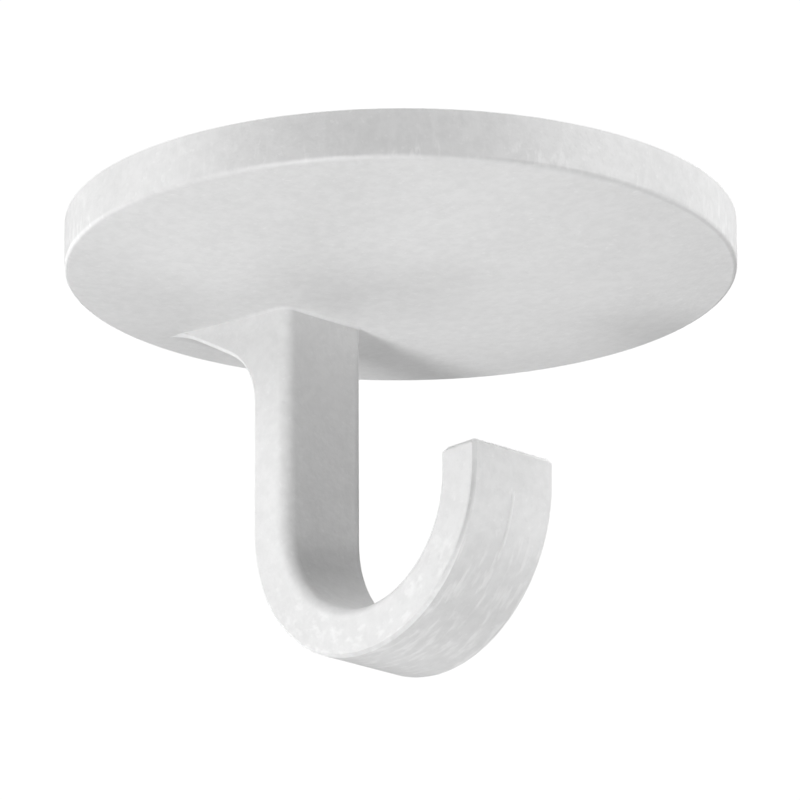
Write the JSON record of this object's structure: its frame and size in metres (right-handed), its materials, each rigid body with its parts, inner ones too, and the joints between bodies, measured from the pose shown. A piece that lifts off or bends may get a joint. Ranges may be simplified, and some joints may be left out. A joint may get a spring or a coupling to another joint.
{
  "type": "adhesive ceiling hook",
  "caption": "Round white plastic base that sticks to a ceiling by a foam pad, with a J-shaped hook moulded below it and a buttress behind the stem.",
  "frame": {"origin": "centre of the foam pad's sticky face, where it lies on the ceiling", "axes": "+Z out of the sticky face, up into the ceiling; +X from the hook's stem towards its tip; Y across the hook"},
  "size_m": [0.04, 0.04, 0.0282],
  "materials": {
    "white_plastic": "satin, with a fine spark-eroded grain, slightly translucent",
    "foam_tape": "closed-cell foam with a tacky adhesive film on its face"
  },
  "bodies": {
    "root": {"moulded_hook": "white_plastic", "adhesive_pad": "foam_tape"}
  },
  "joints": []
}
